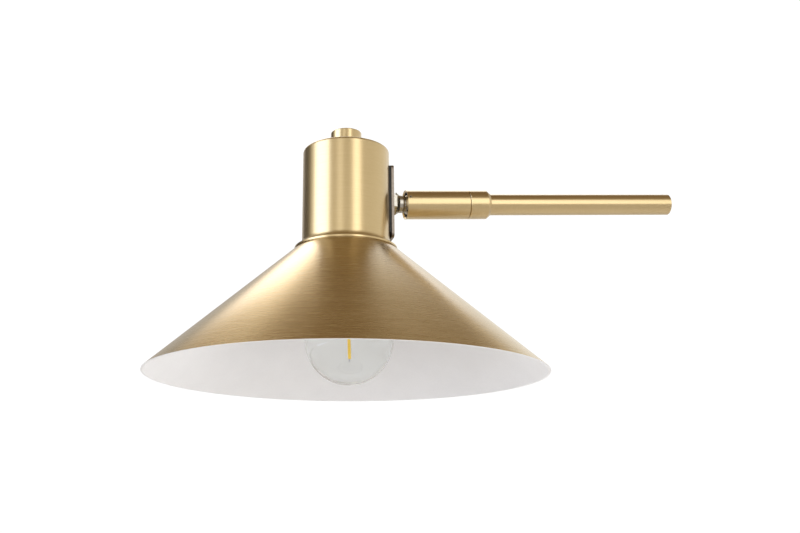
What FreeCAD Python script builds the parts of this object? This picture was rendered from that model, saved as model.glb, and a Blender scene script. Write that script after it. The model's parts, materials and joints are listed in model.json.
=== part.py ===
import FreeCAD, Part
import math
import os
import Sketcher
from FreeCAD import Placement, Rotation, Vector

# Picture light: a conical brass shade with a lampholder cup, hung on a ball swivel and a straight arm.
#
# Row frame: +X runs along the arm, away from the lamp, and +Z is up. The origin is the centre of the
# arm's end face, where the fitting screws to its wall plate or clamp. The head is drawn in its own
# frame (origin at the centre of the shade's rim, lamp axis along +Z, ball stud along +X), and hangs at
# the ball with a lean of head_lean degrees. The arm and the sleeve are drawn with the ball's centre as
# origin and the arm's axis as local +Z.

DIMENSIONS = {
    # arm and swivel, measured along the arm from the ball's centre
    "arm_reach": 193.8,
    "arm_radius": 7.55,
    "arm_bore": 6.35,
    "head_lean": 3.5,
    "sleeve_radius": 10.25,
    "sleeve_bore": 9.0,
    "mouth_depth": 5.4,
    "mouth_chamfer": 0.7,
    "joint_line": 40.0,
    "joint_gap": 0.3,
    "joint_chamfer": 0.3,
    "collar_end": 55.6,
    "collar_chamfer": 2.2,
    "tube_start": 44.3,
    "web_start": 32.0,
    "spindle_radius": 6.3,
    "spindle_bore": 3.6,
    "spindle_head_radius": 8.7,
    "spindle_head_start": 29.0,
    "spindle_head_end": 31.2,
    "spindle_end": 54.0,
    "stop_groove_radius": 5.5,
    "stop_screw_place": 36.5,
    "stop_groove_width": 2.8,
    "stop_tip_radius": 1.0,
    "grub_radius": 1.5,
    "running_gap": 0.05,
    "fit_gap": 0.05,
    "bush_length": 15.0,
    "bush_bore": 4.5,
    # ball and its seats
    "ball_radius": 8.2,
    "front_seat_end": 4.6,
    "front_seat_lip": 2.6,
    "front_seat_start": 0.9,
    "front_seat_wall": 0.95,
    "rear_seat_start": 3.4,
    "rear_seat_end": 9.0,
    "rear_seat_bore": 6.0,
    "disc_spring_outer": 8.7,
    "disc_spring_inner": 4.6,
    "disc_spring_sheet": 0.8,
    "disc_spring_rise": 0.65,
    "plug_start": 15.0,
    "plug_end": 19.0,
    "plug_bore": 4.0,
    "pin_radius": 1.0,
    "pin_inner": 4.6,
    "pin_outer": 9.55,
    "pin_slot_half": 1.15,
    "pin_slot_length": 3.4,
    "pin_slot_reach": 9.75,
    # ball stud, measured from the lamp axis
    "pivot_out": 47.65,
    "pivot_up": 123.0,
    "stud_radius": 5.0,
    "stud_bore": 2.6,
    "stud_inner_end": 21.6,
    "stud_flare": 5.3,
    "neck_radius": 5.9,
    "neck_taper_start": 8.1,
    "neck_taper_end": 6.6,
    "flange_radius": 8.0,
    "flange_start": 35.2,
    "flange_end": 37.4,
    "nut_thickness": 2.5,
    "nut_corner_radius": 8.08,
    "washer_thickness": 0.6,
    # swivel plate and gasket
    "plate_face": 32.7,
    "plate_thickness": 1.8,
    "plate_width": 16.0,
    "plate_length": 53.3,
    "plate_corner": 3.0,
    "gasket_width": 15.2,
    "gasket_low": 100.0,
    "gasket_high": 148.6,
    "screw_spread": 14.3,
    "screw_radius": 2.0,
    "screw_head_radius": 3.9,
    "screw_head_rise": 1.3,
    "screw_inner_end": 23.6,
    "screw_socket_radius": 1.4,
    "screw_socket_deep": 1.1,
    # cup
    "cup_radius": 30.3,
    "cup_wall": 2.0,
    "cup_top": 159.4,
    "cup_roof": 2.5,
    "cup_round": 2.0,
    "foot_radius": 35.4,
    "foot_low": 86.9,
    "foot_lip": 1.2,
    "seat_radius": 33.4,
    # inner bracket
    "bracket_inner": 25.5,
    "bracket_width": 14.0,
    "bracket_low": 104.0,
    "bracket_high": 143.0,
    "shelf_low": 111.5,
    "shelf_thickness": 2.0,
    "shelf_end": 8.3,
    "earth_screw_out": 15.0,
    "terminal_out": 13.5,
    # shade
    "rim_radius": 133.8,
    "crown_radius": 35.8,
    "crown_height": 85.9,
    "shade_sheet": 1.2,
    "shade_hole": 19.8,
    # rotary switch and knob
    "knob_radius": 10.85,
    "knob_low": 159.9,
    "knob_top": 173.8,
    "knob_recess_radius": 8.9,
    "knob_recess_top": 164.1,
    "knob_round": 0.8,
    "knob_screw_place": 169.5,
    "knob_screw_inner": 2.5,
    "shaft_radius": 3.0,
    "shaft_low": 149.5,
    "shaft_top": 171.5,
    "switch_radius": 12.0,
    "switch_low": 143.4,
    "bushing_radius": 5.0,
    "bushing_top": 163.4,
    # lampholder
    "holder_radius": 19.5,
    "holder_low": 73.0,
    "holder_top": 107.0,
    "holder_flange": 23.0,
    "holder_flange_thick": 2.5,
    "holder_cavity": 14.7,
    "cavity_top": 101.0,
    "shell_wall": 0.6,
    "shell_low": 75.0,
    "nipple_radius": 5.0,
    "nipple_bore": 3.6,
    "nipple_low": 102.5,
    "nipple_top": 117.4,
    "ring_outer": 27.5,
    "ring_height": 6.0,
    # bulb, an A60 with an E27 cap, 105 mm long
    "glass_radius": 30.0,
    "glass_centre": 24.4,
    "glass_wall": 0.8,
    "neck_glass_radius": 12.6,
    "neck_glass_top": 78.0,
    "cap_radius": 13.2,
    "cap_wall": 0.4,
    "cap_low": 73.4,
    "cap_high": 96.0,
    "cap_crown": 9.2,
    "cap_crown_rise": 1.2,
    "insulator_tip": 5.2,
    "tip_radius": 4.6,
    "tip_round": 3.4,
    "tip_low": 98.4,
    "tip_high": 99.4,
    "filament_radius": 1.1,
    "filament_low": 11.8,
    "filament_high": 50.0,
    "stem_radius": 4.0,
    "stem_low": 55.0,
    "wire_radius": 0.25,
    "wire_offset": 2.4,
    "bulb_lean": 2.05,
    "bulb_hinge": 88.0,
    # leads
    "lead_radius": 1.5,
    "lead_gap": 0.9,
    "lead_rise": 6.0,
    "holder_lead_out": 10.5,
    "connector_start": 146.0,
    "connector_end": 170.0,
    "connector_radius": 5.0,
}

doc = FreeCAD.newDocument("PictureLight")
sheet = doc.addObject("Spreadsheet::Sheet", "Sizes")


class Size:
    """A length that knows both its value and the sheet expression that gives it."""

    def __init__(self, value, text):
        self.value = value
        self.text = text

    def __add__(self, other):
        other = as_size(other)
        return Size(self.value + other.value, f"{self.text} + {other.text}")

    def __sub__(self, other):
        other = as_size(other)
        return Size(self.value - other.value, f"{self.text} - ({other.text})")

    def __mul__(self, factor):
        return Size(self.value * factor, f"({self.text}) * {factor}")

    def __neg__(self):
        return Size(-self.value, f"-({self.text})")


def as_size(number):
    """Wrap a plain number, so that it can be mixed with sheet sizes."""
    if isinstance(number, Size):
        return number
    return Size(float(number), str(number))


def fill_sheet():
    """Write every driving dimension into the sheet, one row each."""
    for row, (alias, number) in enumerate(DIMENSIONS.items(), start=1):
        sheet.set(f"A{row}", alias)
        sheet.set(f"B{row}", str(number))
        sheet.setAlias(f"B{row}", alias)
    doc.recompute()


def dim(alias):
    """The named driving dimension."""
    return Size(float(sheet.get(alias)), f"Sizes.{alias}")


fill_sheet()
NODES = []


def node(thing, name, place):
    """Make the object a kept node: give it its name and its place in the row frame."""
    thing.Label = name
    thing.Placement = place
    NODES.append(thing)
    return thing


# ---------------------------------------------------------------- frames

PIVOT = Vector(-dim("arm_reach").value, 0, 0)
Y_AXIS = Vector(0, 1, 0)
ARM = Placement(PIVOT, Rotation(Y_AXIS, 90))
HEAD_TO_PIVOT = Placement(Vector(-dim("pivot_out").value, 0, -dim("pivot_up").value), Rotation())
HEAD = Placement(PIVOT, Rotation(Y_AXIS, dim("head_lean").value)) * HEAD_TO_PIVOT
STUD_LINE = Placement(Vector(0, 0, dim("pivot_up").value), Rotation(Y_AXIS, 90))
BULB_HINGE = Vector(0, 0, dim("bulb_hinge").value)
BULB = HEAD * Placement(Vector(), Rotation(Y_AXIS, -dim("bulb_lean").value), BULB_HINGE)


def radial(along, angle, reach):
    """A place at a distance along local +Z, turned outwards at an angle, reach away from the axis."""
    turn = Rotation(Vector(0, 0, 1), angle) * Rotation(Y_AXIS, 90)
    outwards = Rotation(Vector(0, 0, 1), angle).multVec(Vector(reach, 0, 0))
    return Placement(Vector(0, 0, along) + outwards, turn)


# ---------------------------------------------------------------- building blocks


def bind(thing, prop, size):
    """Drive a property from the sheet."""
    thing.setExpression(prop, as_size(size).text)


def turned(name, outline):
    """A body turned about local Z; outline lists (radius, height) corners."""
    body = doc.addObject("PartDesign::Body", name + "_body")
    plane = next(f for f in body.Origin.OriginFeatures if f.Role == "XZ_Plane")
    sketch = body.newObject("Sketcher::SketchObject", name + "_outline")
    sketch.AttachmentSupport = [(plane, "")]
    sketch.MapMode = "FlatFace"
    corners = [(as_size(r), as_size(up)) for r, up in outline]
    count = len(corners)
    for index in range(count):
        start = Vector(corners[index][0].value, corners[index][1].value, 0)
        after = corners[(index + 1) % count]
        sketch.addGeometry(Part.LineSegment(start, Vector(after[0].value, after[1].value, 0)), False)
    for index in range(count):
        sketch.addConstraint(Sketcher.Constraint("Coincident", index, 2, (index + 1) % count, 1))
    for index, (across, up) in enumerate(corners):
        if across.value == 0:
            sketch.addConstraint(Sketcher.Constraint("PointOnObject", index, 1, -2))
        else:
            number = sketch.addConstraint(
                Sketcher.Constraint("DistanceX", -1, 1, index, 1, across.value))
            sketch.setExpression(f"Constraints[{number}]", across.text)
        number = sketch.addConstraint(Sketcher.Constraint("DistanceY", -1, 1, index, 1, up.value))
        sketch.setExpression(f"Constraints[{number}]", up.text)
    spin = body.newObject("PartDesign::Revolution", name + "_turn")
    spin.Profile = sketch
    spin.ReferenceAxis = (sketch, ["V_Axis"])
    spin.Angle = 360
    sketch.Visibility = False
    doc.recompute()
    return body


def tube(name, inner, outer, low, high):
    """A plain ring or tube about local Z."""
    return turned(name, [(inner, low), (outer, low), (outer, high), (inner, high)])


def rod(name, radius, low, high):
    """A plain round rod along local Z."""
    return turned(name, [(0, low), (radius, low), (radius, high), (0, high)])


def dress(body, kind, size, wanted):
    """Fillet or chamfer the edges of a body that the wanted test picks."""
    base = body.Tip
    picked = [f"Edge{i}" for i, edge in enumerate(base.Shape.Edges, start=1) if wanted(edge)]
    feature = body.newObject("PartDesign::" + kind, body.Name + "_" + kind.lower())
    feature.Base = (base, picked)
    bind(feature, "Radius" if kind == "Fillet" else "Size", size)
    doc.recompute()


def ring_at(radius, up):
    """Test for a round edge of the given radius and height."""
    def wanted(edge):
        if not isinstance(edge.Curve, Part.Circle):
            return False
        return abs(edge.Curve.Radius - radius) < 1e-4 and abs(edge.Curve.Center.z - up) < 1e-4
    return wanted


def cylinder(name, radius, height, place=None):
    """A Part cylinder whose radius and height are driven by the sheet."""
    thing = doc.addObject("Part::Cylinder", name)
    bind(thing, "Radius", radius)
    bind(thing, "Height", height)
    thing.Placement = place or Placement()
    return thing


def box(name, low, high):
    """A Part box between two corners."""
    thing = doc.addObject("Part::Box", name)
    low = [as_size(v) for v in low]
    high = [as_size(v) for v in high]
    for prop, start, end in zip(("Length", "Width", "Height"), low, high):
        bind(thing, prop, end - start)
    for axis, start in zip("xyz", low):
        bind(thing, f"Placement.Base.{axis}", start)
    return thing


def hexagon(name, corner_radius, height, place=None):
    """A Part hexagonal prism along local Z."""
    thing = doc.addObject("Part::Prism", name)
    thing.Polygon = 6
    bind(thing, "Circumradius", corner_radius)
    bind(thing, "Height", height)
    thing.Placement = place or Placement()
    return thing


def joined(name, *things):
    """Several objects fused, or grouped where they do not touch."""
    thing = doc.addObject("Part::MultiFuse", name)
    thing.Shapes = list(things)
    return thing


def cut(name, base, *tools):
    """The base with every tool taken out of it."""
    thing = doc.addObject("Part::Cut", name + "_cut")
    thing.Base = base
    thing.Tool = tools[0] if len(tools) == 1 else joined(name + "_tools", *tools)
    return thing


def common(name, first, second):
    """The stretch that two objects share."""
    thing = doc.addObject("Part::Common", name + "_common")
    thing.Base = first
    thing.Tool = second
    return thing


def swept(name, radius, points):
    """A round wire along straight runs joined by tangent arcs; prints its arcs' radii and its length."""
    edges = []
    start = points[0]
    for before, corner, after in zip(points, points[1:], points[2:]):
        back = (before - corner).normalize()
        ahead = (after - corner).normalize()
        trim = 0.45 * min((before - corner).Length, (after - corner).Length)
        half_turn = (math.pi - back.getAngle(ahead)) / 2
        bend = trim / math.tan(half_turn)
        middle = corner + (back + ahead).normalize() * (bend / math.cos(half_turn) - bend)
        edges.append(Part.makeLine(start, corner + back * trim))
        edges.append(Part.Arc(corner + back * trim, middle, corner + ahead * trim).toShape())
        start = corner + ahead * trim
        print(f"{name}: arc radius {bend:.1f} mm")
    edges.append(Part.makeLine(start, points[-1]))
    path = Part.Wire(edges)
    section = Part.Wire(Part.makeCircle(radius, points[0], points[1] - points[0]))
    wire = doc.addObject("Part::Feature", name)
    wire.Shape = path.makePipeShell([section], True, False)
    swept_length = wire.Shape.Volume / (math.pi * radius ** 2)
    print(f"{name}: length {path.Length:.1f} mm, volume over section {swept_length:.1f} mm")
    return wire


def nut(name, low):
    """A thin M10 hexagon nut along local Z, starting at the given height."""
    blank = hexagon(name + "_hexagon", dim("nut_corner_radius"), dim("nut_thickness"))
    bind(blank, "Placement.Base.z", low)
    hole = cylinder(name + "_hole", dim("stud_radius"), dim("nut_thickness"))
    bind(hole, "Placement.Base.z", low)
    return cut(name, blank, hole)


def grub(name, radius, inner, outer, along, angle):
    """A headless screw that runs outwards across local Z, with a hexagon socket in its outer end."""
    rod = cylinder(name + "_rod", radius, as_size(outer) - inner, radial(along, angle, inner))
    socket_deep = 0.7
    socket = hexagon(name + "_socket", radius * 0.5, socket_deep, radial(along, angle, outer - socket_deep))
    return cut(name, rod, socket)


# ---------------------------------------------------------------- arm

COLLAR_SCREW_PLACE = 42.3
COLLAR_SCREW_OUTER = 9.9
COLLAR_SCREW_INNER = 5.0
BUSH_SCREW_OUTER = 7.5
BUSH_SCREW_INNER = 4.9
HOLE_END = 11.5
BACK = 90
NEAR_AND_UP = 253.5


def bush_screw_place():
    """The bush's screw sits half way along the bush."""
    return dim("arm_reach").value - dim("bush_length").value / 2


def cross_hole(name, radius, along, angle, inner, outer):
    """A round hole across local Z, open at both ends."""
    return cylinder(name, radius, outer - inner, radial(along, angle, inner))


def make_arm_tube():
    blank = tube("arm_tube", dim("arm_bore"), dim("arm_radius"), dim("tube_start"), dim("arm_reach"))
    hole = cross_hole("arm_tube_hole", dim("grub_radius"), bush_screw_place(), BACK, BUSH_SCREW_INNER, HOLE_END)
    node(cut("arm_tube", blank, hole), "arm_tube", ARM)


def make_collar():
    low = dim("joint_line") + dim("joint_gap")
    chamfer = dim("collar_chamfer")
    blank = turned("collar", [
        (dim("spindle_radius") + dim("running_gap"), low),
        (dim("sleeve_radius") - dim("joint_chamfer"), low),
        (dim("sleeve_radius"), low + dim("joint_chamfer")),
        (dim("sleeve_radius"), dim("collar_end") - chamfer),
        (dim("sleeve_radius") - chamfer * 0.75, dim("collar_end")),
        (dim("arm_radius"), dim("collar_end")),
        (dim("arm_radius"), dim("tube_start")),
        (dim("spindle_radius") + dim("running_gap"), dim("tube_start"))])
    hole = cross_hole("collar_hole", dim("grub_radius"), COLLAR_SCREW_PLACE, BACK, COLLAR_SCREW_INNER, HOLE_END)
    node(cut("collar", blank, hole), "collar", ARM)


def make_spindle():
    blank = turned("roll_spindle", [
        (dim("spindle_bore"), dim("spindle_head_start")),
        (dim("spindle_head_radius"), dim("spindle_head_start")),
        (dim("spindle_head_radius"), dim("spindle_head_end")),
        (dim("spindle_radius"), dim("spindle_head_end")),
        (dim("spindle_radius"), dim("spindle_end")),
        (dim("spindle_bore"), dim("spindle_end"))])
    groove_low = dim("stop_screw_place") - dim("stop_groove_width") * 0.5
    stop_half = 4
    pie = cylinder("stop_groove_pie", dim("spindle_radius") + 1, dim("stop_groove_width"))
    pie.Angle = 360 - 2 * stop_half
    pie.Placement = Placement(Vector(), Rotation(Vector(0, 0, 1), stop_half - BACK))
    bind(pie, "Placement.Base.z", groove_low)
    core = cylinder("stop_groove_core", dim("stop_groove_radius"), dim("stop_groove_width"))
    bind(core, "Placement.Base.z", groove_low)
    groove = cut("stop_groove", pie, core)
    dimple = cross_hole("spindle_dimple", dim("grub_radius"), COLLAR_SCREW_PLACE, BACK,
                        COLLAR_SCREW_INNER, dim("sleeve_radius").value)
    node(cut("roll_spindle", blank, groove, dimple), "roll_spindle", ARM)


def make_arm_end():
    low = dim("arm_reach") - dim("bush_length")
    blank = tube("arm_end_bush", dim("bush_bore"), dim("arm_bore"), low, dim("arm_reach"))
    hole = cross_hole("bush_hole", dim("grub_radius"), bush_screw_place(), BACK, BUSH_SCREW_INNER, HOLE_END)
    node(cut("arm_end_bush", blank, hole), "arm_end_bush", ARM)
    screw = grub("arm_end_screw", dim("grub_radius"), BUSH_SCREW_INNER, BUSH_SCREW_OUTER,
                 bush_screw_place(), BACK)
    node(screw, "arm_end_screw", ARM)


def make_arm():
    make_arm_tube()
    make_collar()
    make_spindle()
    screw = grub("collar_screw", dim("grub_radius"), COLLAR_SCREW_INNER, COLLAR_SCREW_OUTER,
                 COLLAR_SCREW_PLACE, BACK)
    node(screw, "collar_screw", ARM)
    make_arm_end()


# ---------------------------------------------------------------- sleeve and ball seats

SEAT_SCREW_PLACE = -3.3
SEAT_SCREW_INNER = 8.95
SEAT_SCREW_OUTER = 10.1
STOP_TIP_INNER = 5.6
STOP_SCREW_INNER = 6.4
STOP_SCREW_OUTER = 9.9


def make_sleeve():
    mouth = -dim("mouth_depth")
    blank = turned("sleeve", [
        (dim("sleeve_bore") + dim("mouth_chamfer"), mouth),
        (dim("sleeve_radius"), mouth),
        (dim("sleeve_radius"), dim("joint_line") - dim("joint_chamfer")),
        (dim("sleeve_radius") - dim("joint_chamfer"), dim("joint_line")),
        (dim("spindle_radius") + dim("running_gap"), dim("joint_line")),
        (dim("spindle_radius") + dim("running_gap"), dim("web_start")),
        (dim("sleeve_bore"), dim("web_start")),
        (dim("sleeve_bore"), mouth + dim("mouth_chamfer"))])
    half_slot = dim("pin_slot_half")
    slots = box("sleeve_pin_slots", (-half_slot, -dim("pin_slot_reach"), -dim("pin_slot_length")),
                (half_slot, dim("pin_slot_reach"), dim("pin_slot_length")))
    seat_hole = cross_hole("seat_screw_hole", dim("stop_tip_radius"), SEAT_SCREW_PLACE, NEAR_AND_UP,
                           SEAT_SCREW_INNER - 1, HOLE_END)
    stop_hole = cross_hole("stop_screw_hole", dim("grub_radius"), dim("stop_screw_place").value, BACK,
                           STOP_SCREW_INNER - 0.5, HOLE_END)
    node(cut("sleeve", blank, slots, seat_hole, stop_hole), "sleeve", ARM)


def make_sleeve_screws():
    seat_screw = grub("seat_lock_screw", dim("stop_tip_radius"), SEAT_SCREW_INNER, SEAT_SCREW_OUTER,
                      SEAT_SCREW_PLACE, NEAR_AND_UP)
    node(seat_screw, "seat_lock_screw", ARM)
    place = dim("stop_screw_place").value
    thread = grub("roll_stop_thread", dim("grub_radius"), STOP_SCREW_INNER, STOP_SCREW_OUTER, place, BACK)
    tip_length = STOP_SCREW_INNER - STOP_TIP_INNER + 0.1
    tip = cylinder("roll_stop_tip", dim("stop_tip_radius"), tip_length, radial(place, BACK, STOP_TIP_INNER))
    node(joined("roll_stop_join", thread, tip), "roll_stop_screw", ARM)


def ball_space(name, gap):
    """A sphere a little larger than the ball, for cutting its seats."""
    sphere = doc.addObject("Part::Sphere", name)
    bind(sphere, "Radius", dim("ball_radius") + gap)
    return sphere


def make_front_seat():
    seat_gap = dim("running_gap")
    lip = dim("front_seat_lip")
    lip_radius = math.sqrt((dim("ball_radius") + seat_gap).value ** 2 - lip.value ** 2)
    outer = dim("sleeve_bore") - dim("fit_gap")
    blank = turned("ball_front_seat", [
        (lip_radius + dim("front_seat_wall").value, -dim("front_seat_end")),
        (outer, -dim("front_seat_end")),
        (outer, -dim("front_seat_start")),
        (lip_radius, -dim("front_seat_start")),
        (lip_radius, -lip)])
    half_slot = dim("pin_slot_half")
    slot_low = dim("front_seat_start") - dim("front_seat_end")
    slots = box("front_seat_slots", (-half_slot, -dim("sleeve_radius"), slot_low),
                (half_slot, dim("sleeve_radius"), 0))
    node(cut("ball_front_seat", blank, ball_space("front_seat_space", seat_gap), slots), "ball_front_seat", ARM)


def make_rear_seat():
    blank = tube("ball_rear_seat", dim("rear_seat_bore"), dim("sleeve_bore") - 0.1,
                 dim("rear_seat_start"), dim("rear_seat_end"))
    space = ball_space("rear_seat_space", dim("running_gap"))
    node(cut("ball_rear_seat", blank, space), "ball_rear_seat", ARM)


def make_disc_springs():
    """Four conical disc springs, stacked alternately between the rear seat and the plug."""
    outer = dim("disc_spring_outer")
    inner = dim("disc_spring_inner")
    sheet_thick = dim("disc_spring_sheet")
    rise = dim("disc_spring_rise")
    end_gap = 0.04
    discs = []
    for index in range(4):
        low = dim("rear_seat_end") + (rise + sheet_thick + end_gap) * index + end_gap
        cupped = index % 2 == 0
        at_inner = low + rise if cupped else low
        at_outer = low if cupped else low + rise
        discs.append(turned(f"disc_spring_{index}", [
            (inner, at_inner),
            (outer, at_outer),
            (outer, at_outer + sheet_thick),
            (inner, at_inner + sheet_thick)]))
    node(joined("disc_springs_join", *discs), "disc_springs", ARM)


def make_spring_plug():
    outer = dim("sleeve_bore") - dim("fit_gap")
    blank = tube("spring_plug", dim("plug_bore"), outer, dim("plug_start"), dim("plug_end"))
    half_slot = 0.8
    slot_deep = 1.2
    slot = box("plug_slot", (-dim("sleeve_bore"), -half_slot, dim("plug_end") - slot_deep),
               (dim("sleeve_bore"), half_slot, dim("plug_end")))
    node(cut("spring_plug", blank, slot), "spring_plug", ARM)


def make_swivel():
    make_sleeve()
    make_sleeve_screws()
    make_front_seat()
    make_rear_seat()
    make_disc_springs()
    make_spring_plug()
    washer = tube("roll_washer", dim("spindle_radius") + 0.2, dim("spindle_head_radius"),
                  dim("spindle_head_end"), dim("web_start"))
    node(washer, "roll_washer", ARM)
    length = dim("pin_outer") - dim("pin_inner")
    pins = [cylinder(f"ball_pin_{side}", dim("pin_radius"), length, radial(0, angle, dim("pin_inner").value))
            for side, angle in (("near", -90), ("far", 90))]
    node(joined("ball_pins_join", *pins), "ball_pins", ARM)


# ---------------------------------------------------------------- ball stud and plate


def make_ball_stud():
    """Hollow stud: threaded shank, flange, flared neck and ball, bored through for the lead."""
    pivot = dim("pivot_out")
    shank = turned("ball_stud", [
        (0, dim("stud_inner_end")),
        (dim("stud_radius"), dim("stud_inner_end")),
        (dim("stud_radius"), dim("flange_start")),
        (dim("flange_radius"), dim("flange_start")),
        (dim("neck_radius") + 0.5, dim("flange_end")),
        (dim("neck_radius") + 0.3, pivot - dim("neck_taper_start")),
        (dim("neck_radius"), pivot - dim("neck_taper_end")),
        (dim("neck_radius"), pivot),
        (0, pivot)])
    ball = doc.addObject("Part::Sphere", "ball")
    bind(ball, "Radius", dim("ball_radius"))
    bind(ball, "Placement.Base.z", pivot)
    solid = joined("ball_stud_solid", shank, ball)
    bore = cylinder("stud_bore_hole", dim("stud_bore"), pivot + 2)
    flare = doc.addObject("Part::Cone", "stud_bore_flare")
    bind(flare, "Radius1", dim("stud_bore"))
    bind(flare, "Radius2", dim("stud_flare"))
    bind(flare, "Height", dim("ball_radius"))
    bind(flare, "Placement.Base.z", pivot)
    reach = dim("sleeve_radius")
    across = Placement(Vector(0, reach.value, pivot.value), Rotation(Vector(1, 0, 0), 90))
    pin_hole = cylinder("stud_pin_hole", dim("pin_radius") + dim("running_gap"), reach * 2, across)
    node(cut("ball_stud", solid, bore, flare, pin_hole), "ball_stud", HEAD * STUD_LINE)


def swivel_holes(name, stud_gap, screw_gap):
    """Tools for the stud's hole and the two screws' holes, in the head's frame."""
    start = Vector(dim("stud_inner_end").value - 2, 0, dim("pivot_up").value)
    along = Rotation(Y_AXIS, 90)
    reach = 16
    stud = cylinder(name + "_stud_hole", dim("stud_radius") + stud_gap, reach, Placement(start, along))
    tools = [stud]
    for label, sign in (("upper", 1), ("lower", -1)):
        spot = start + Vector(0, 0, sign * dim("screw_spread").value)
        radius = dim("screw_radius") + screw_gap
        tools.append(cylinder(f"{name}_{label}_hole", radius, reach, Placement(spot, along)))
    return tools


def make_plate():
    half_wide = dim("plate_width") * 0.5
    half_long = dim("plate_length") * 0.5
    blank = box("plate_blank",
                (dim("plate_face") - dim("plate_thickness"), -half_wide, dim("pivot_up") - half_long),
                (dim("plate_face"), half_wide, dim("pivot_up") + half_long))
    doc.recompute()
    rounded = doc.addObject("Part::Fillet", "plate_rounded")
    rounded.Base = blank
    corner = dim("plate_corner").value
    rounded.Edges = [(i, corner, corner) for i, edge in enumerate(blank.Shape.Edges, start=1)
                     if abs(edge.Length - dim("plate_thickness").value) < 1e-4]
    node(cut("swivel_plate", rounded, *swivel_holes("plate", 0.1, 0.1)), "swivel_plate", HEAD)


def make_gasket():
    half_wide = dim("gasket_width") * 0.5
    blank = box("gasket_blank", (dim("cup_radius") - 2, -half_wide, dim("gasket_low")),
                (dim("plate_face") - dim("plate_thickness"), half_wide, dim("gasket_high")))
    wall = cylinder("gasket_wall", dim("cup_radius"), dim("cup_top"))
    node(cut("plate_gasket", blank, wall, *swivel_holes("gasket", 0.2, 0.1)), "plate_gasket", HEAD)


def make_plate_screws():
    """Two dome-head screws through the plate, the gasket and the cup into the inner bracket."""
    screws = []
    for label, sign in (("upper", 1), ("lower", -1)):
        rise = dim("screw_head_rise")
        screw = turned(f"plate_screw_{label}", [
            (0, dim("screw_inner_end")),
            (dim("screw_radius"), dim("screw_inner_end")),
            (dim("screw_radius"), dim("plate_face")),
            (dim("screw_head_radius"), dim("plate_face")),
            (dim("screw_head_radius") * 0.85, dim("plate_face") + rise * 0.55),
            (dim("screw_head_radius") * 0.5, dim("plate_face") + rise),
            (0, dim("plate_face") + rise)])
        spot = Vector(0, 0, dim("pivot_up").value + sign * dim("screw_spread").value)
        screw.Placement = Placement(spot, Rotation(Y_AXIS, 90))
        floor = dim("plate_face").value + rise.value - dim("screw_socket_deep").value
        seat = Placement(Vector(floor, 0, spot.z), Rotation(Y_AXIS, 90))
        socket = hexagon(f"plate_screw_{label}_socket", dim("screw_socket_radius"), rise, seat)
        screws.append(cut(f"plate_screw_{label}", screw, socket))
    node(joined("plate_screws_join", *screws), "plate_screws", HEAD)


def make_bracket():
    """Steel L inside the cup: it takes the plate's screws and carries the lampholder's nipple."""
    half = dim("bracket_width") * 0.5
    wall = box("bracket_wall", (dim("bracket_inner"), -half, dim("bracket_low")),
               (dim("cup_radius"), half, dim("bracket_high")))
    shelf = box("bracket_shelf", (-dim("shelf_end"), -half, dim("shelf_low")),
                (dim("bracket_inner") + 1, half, dim("shelf_low") + dim("shelf_thickness")))
    inside = cylinder("bracket_limit", dim("cup_radius") - dim("cup_wall"), dim("cup_top"))
    blank = common("bracket", joined("bracket_join", wall, shelf), inside)
    nipple_hole = cylinder("bracket_nipple_hole", dim("nipple_radius"), dim("cup_top"))
    earth_hole = cylinder("bracket_earth_hole", dim("grub_radius"), dim("cup_top"),
                          Placement(Vector(dim("earth_screw_out").value, 0, 0), Rotation()))
    tools = swivel_holes("bracket", 0.1, 0)
    node(cut("inner_bracket", blank, nipple_hole, earth_hole, *tools), "inner_bracket", HEAD)


def make_earth_screw():
    """Pan-head screw through the bracket's shelf."""
    top = dim("shelf_low") + dim("shelf_thickness")
    end = dim("shelf_low") - 2
    head_radius = 2.8
    head_rise = 1.5
    screw = turned("earth_screw", [
        (0, end),
        (dim("grub_radius"), end),
        (dim("grub_radius"), top),
        (head_radius, top),
        (head_radius, top + head_rise),
        (0, top + head_rise)])
    node(screw, "earth_screw", HEAD * Placement(Vector(dim("earth_screw_out").value, 0, 0), Rotation()))


def make_stud_side():
    make_ball_stud()
    make_plate()
    make_gasket()
    make_plate_screws()
    make_bracket()
    make_earth_screw()
    node(nut("stud_outer_nut", dim("plate_face")), "stud_outer_nut", HEAD * STUD_LINE)
    washer_low = dim("bracket_inner") - dim("washer_thickness")
    washer = tube("stud_washer", dim("stud_radius") + 0.1, dim("flange_radius") - 0.4, washer_low,
                  dim("bracket_inner"))
    node(washer, "stud_washer", HEAD * STUD_LINE)
    node(nut("stud_inner_nut", washer_low - dim("nut_thickness")), "stud_inner_nut", HEAD * STUD_LINE)


# ---------------------------------------------------------------- cup and shade


def make_cup():
    inner = dim("cup_radius") - dim("cup_wall")
    lip_top = dim("foot_low") + dim("foot_lip")
    roof_low = dim("cup_top") - dim("cup_roof")
    body = turned("cup", [
        (inner, dim("crown_height")),
        (dim("seat_radius"), dim("crown_height")),
        (dim("seat_radius"), dim("foot_low")),
        (dim("foot_radius"), dim("foot_low")),
        (dim("foot_radius"), lip_top),
        (dim("cup_radius"), lip_top),
        (dim("cup_radius"), dim("cup_top")),
        (dim("bushing_radius") + 0.1, dim("cup_top")),
        (dim("bushing_radius") + 0.1, roof_low),
        (inner, roof_low)])
    dress(body, "Fillet", dim("foot_radius") - dim("cup_radius") - 0.1,
          ring_at(dim("cup_radius").value, lip_top.value))
    dress(body, "Fillet", dim("cup_round"), ring_at(dim("cup_radius").value, dim("cup_top").value))
    node(cut("cup", body, *swivel_holes("cup", 0.2, 0.1)), "cup", HEAD)


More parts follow.
